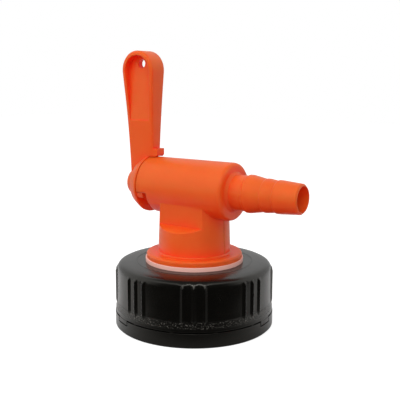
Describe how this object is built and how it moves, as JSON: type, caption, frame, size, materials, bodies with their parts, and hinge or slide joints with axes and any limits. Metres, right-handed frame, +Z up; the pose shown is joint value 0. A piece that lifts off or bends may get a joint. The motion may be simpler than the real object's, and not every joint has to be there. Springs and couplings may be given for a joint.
{
  "type": "jerrycan tap",
  "caption": "Moulded plastic tap on a screw cap with a tamper ring: a lever turns a hollow plug in a barrel, to let liquid from a jerrycan out through a barbed spout",
  "frame": {"origin": "centre of the cap's rim, in the plane on which the tap stands", "axes": "+Z up along the cap's and neck's axis, +X along the barrel towards the spout, lever on the -X side"},
  "size_m": [0.0908, 0.071, 0.121],
  "materials": {
    "cap": "satin black, moulded polyethylene",
    "seal": "soft white foamed seal",
    "washer": "pale flat washer",
    "nut": "satin orange, moulded",
    "tap": "satin orange, moulded polyethylene",
    "lever": "satin orange, moulded polyethylene"
  },
  "bodies": {
    "tap": {"screw_cap": "cap", "cap_gasket": "seal", "flange_washer": "washer", "back_nut": "nut", "tap_body": "tap"},
    "lever": {"plug_lever": "lever"}
  },
  "joints": [
    {"name": "lever_turn", "type": "hinge", "parent": "tap", "child": "lever", "pos_m": [0, 0, 0.0611], "axis": [1, 0, 0], "range_deg": [0, 90]}
  ]
}
